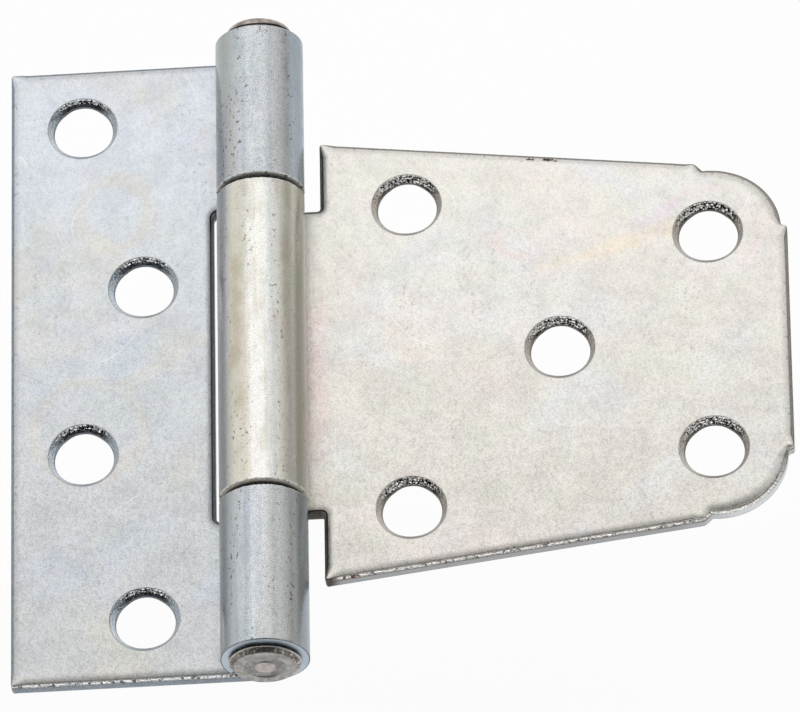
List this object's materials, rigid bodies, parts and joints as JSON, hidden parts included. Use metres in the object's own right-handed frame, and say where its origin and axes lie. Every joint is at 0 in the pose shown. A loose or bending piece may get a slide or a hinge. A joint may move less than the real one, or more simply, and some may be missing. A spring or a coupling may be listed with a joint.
{
  "type": "gate hinge",
  "caption": "Zinc-plated steel gate hinge: a tall rectangular post leaf and a tapering gate leaf with rolled knuckles that turn on a headed pin, both punched for screws or bolts.",
  "frame": {"origin": "on the mounting plane that both leaves lie against, straight under the pin axis at mid height", "axes": "+X from the pin towards the gate, +Y up along the pin, +Z out of the front, the side that the knuckles stand on"},
  "size_m": [0.0989, 0.092, 0.0112],
  "materials": {
    "post_zinc": "bright zinc plate, cool bluish silver, satin with fine specks",
    "gate_zinc": "bright zinc plate, warmer silver with a faint iridescence, satin with fine scratches",
    "pin_steel": "bare turned steel, dull"
  },
  "bodies": {
    "post_side": {"post_leaf": "post_zinc", "hinge_pin": "pin_steel"},
    "gate_side": {"gate_leaf": "gate_zinc"}
  },
  "joints": [
    {"name": "gate_swing", "type": "hinge", "parent": "post_side", "child": "gate_side", "pos_m": [0, 0, 0.0056], "axis": [0, -1, 0], "range_deg": [-95, 190]}
  ]
}
